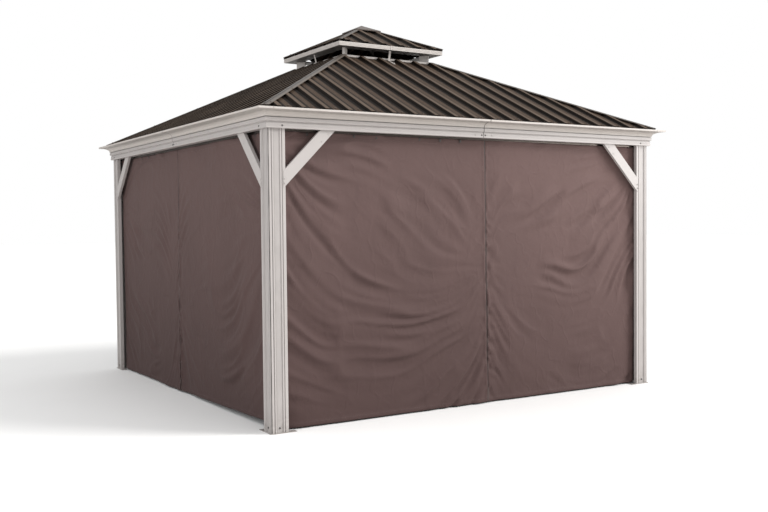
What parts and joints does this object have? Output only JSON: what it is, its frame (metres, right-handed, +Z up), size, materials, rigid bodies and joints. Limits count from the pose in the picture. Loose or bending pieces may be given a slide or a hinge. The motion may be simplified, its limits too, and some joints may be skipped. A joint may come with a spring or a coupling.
{
  "type": "metal gazebo",
  "caption": "Square metal gazebo with fluted corner posts, a moulded header ring, a ribbed hip roof with a vent cupola and hanging fabric curtains.",
  "frame": {"origin": "on the ground at the middle of the plan", "axes": "+Z up, the front side faces -Y, +X to the right seen from the front"},
  "size_m": [3.66, 3.66, 3.103],
  "materials": {
    "frame_paint": "satin light warm grey powder coat",
    "crown_paint": "satin pale grey powder coat",
    "plate_steel": "grey coated steel plate",
    "roof_sheet": "satin dark brown coated ribbed steel",
    "roof_cap": "satin taupe grey coated steel",
    "rail_aluminium": "mill finish extrusion",
    "curtain_fabric": "woven polyester in mauve brown"
  },
  "bodies": {
    "root": {"post_front_left": "frame_paint", "post_front_right": "frame_paint", "post_back_right": "frame_paint", "post_back_left": "frame_paint", "foot_plates": "plate_steel", "braces_front": "frame_paint", "braces_right": "frame_paint", "braces_back": "frame_paint", "braces_left": "frame_paint", "header_front": "frame_paint", "header_right": "frame_paint", "header_back": "frame_paint", "header_left": "frame_paint", "header_splices": "frame_paint", "crown_front": "crown_paint", "crown_right": "crown_paint", "crown_back": "crown_paint", "crown_left": "crown_paint", "crown_corners": "crown_paint", "curtain_rails": "rail_aluminium", "curtain_front_left": "curtain_fabric", "curtain_front_right": "curtain_fabric", "curtain_right_front": "curtain_fabric", "curtain_right_back": "curtain_fabric", "curtain_back_right": "curtain_fabric", "curtain_back_left": "curtain_fabric", "curtain_left_back": "curtain_fabric", "curtain_left_front": "curtain_fabric", "roof_front": "roof_sheet", "roof_right": "roof_sheet", "roof_back": "roof_sheet", "roof_left": "roof_sheet", "hip_caps": "roof_cap", "hip_rafters": "frame_paint", "mid_rafters": "frame_paint", "vent_ring": "frame_paint", "cupola_posts": "frame_paint", "cupola_fascia": "frame_paint", "cupola_roof_front": "roof_sheet", "cupola_roof_right": "roof_sheet", "cupola_roof_back": "roof_sheet", "cupola_roof_left": "roof_sheet", "cupola_hip_caps": "roof_cap", "cupola_rafters": "frame_paint", "apex_cap": "roof_cap"}
  },
  "joints": []
}
